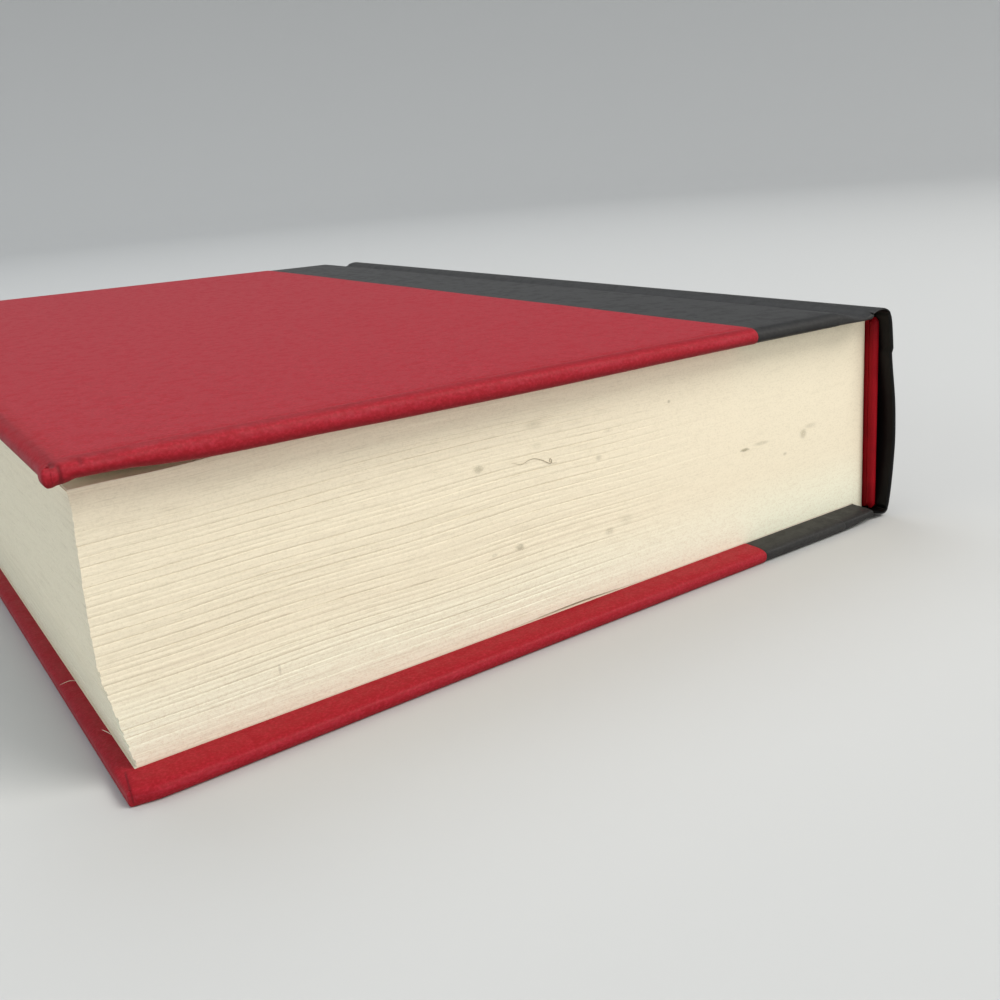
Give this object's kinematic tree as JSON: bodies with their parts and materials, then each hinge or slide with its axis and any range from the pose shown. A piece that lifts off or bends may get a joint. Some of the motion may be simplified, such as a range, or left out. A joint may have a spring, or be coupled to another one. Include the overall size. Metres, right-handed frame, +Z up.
{
  "type": "hardback book",
  "caption": "Thick case-bound book lying on its back cover, quarter bound in black over red paper sides, with covers that open on their joints.",
  "frame": {"origin": "under the middle of the whole closed book, on the surface that it lies on", "axes": "+X from the fore-edge to the spine, +Y from the head of the pages to the tail, +Z up through the front cover"},
  "size_m": [0.1664, 0.2364, 0.0498],
  "materials": {
    "pages": "uncoated cream book paper, cut edges",
    "endpaper": "smooth cream endpaper",
    "red_paper": "embossed grained covering paper, soft sheen",
    "black_paper": "smooth dark grey-black covering paper, soft sheen",
    "headband": "plain woven band with a round bead",
    "gauze": "open weave, glued",
    "liner_paper": "brown kraft",
    "card": "grey card",
    "board": "grey board"
  },
  "bodies": {
    "block": {"text_block": "pages", "back_flyleaf": "endpaper", "front_flyleaf": "endpaper", "spine_mull": "gauze", "spine_liner": "liner_paper", "head_band": "headband", "tail_band": "headband", "spine_stiffener": "card", "spine_covering": "black_paper", "front_joint": "black_paper", "back_joint": "black_paper"},
    "front_cover": {"front_board": "board", "front_side_paper": "red_paper", "front_spine_strip": "black_paper", "front_pastedown": "endpaper"},
    "back_cover": {"back_board": "board", "back_side_paper": "red_paper", "back_spine_strip": "black_paper", "back_pastedown": "endpaper"}
  },
  "joints": [
    {"name": "front_cover_hinge", "type": "hinge", "parent": "block", "child": "front_cover", "pos_m": [0.074, 0, 0.04299], "axis": [0, 1, 0], "range_deg": [0, 180], "deforming": ["front_joint"]},
    {"name": "back_cover_hinge", "type": "hinge", "parent": "block", "child": "back_cover", "pos_m": [0.0754, 0, 0.00289], "axis": [0, -1, 0], "range_deg": [0, 180], "deforming": ["back_joint"]}
  ]
}
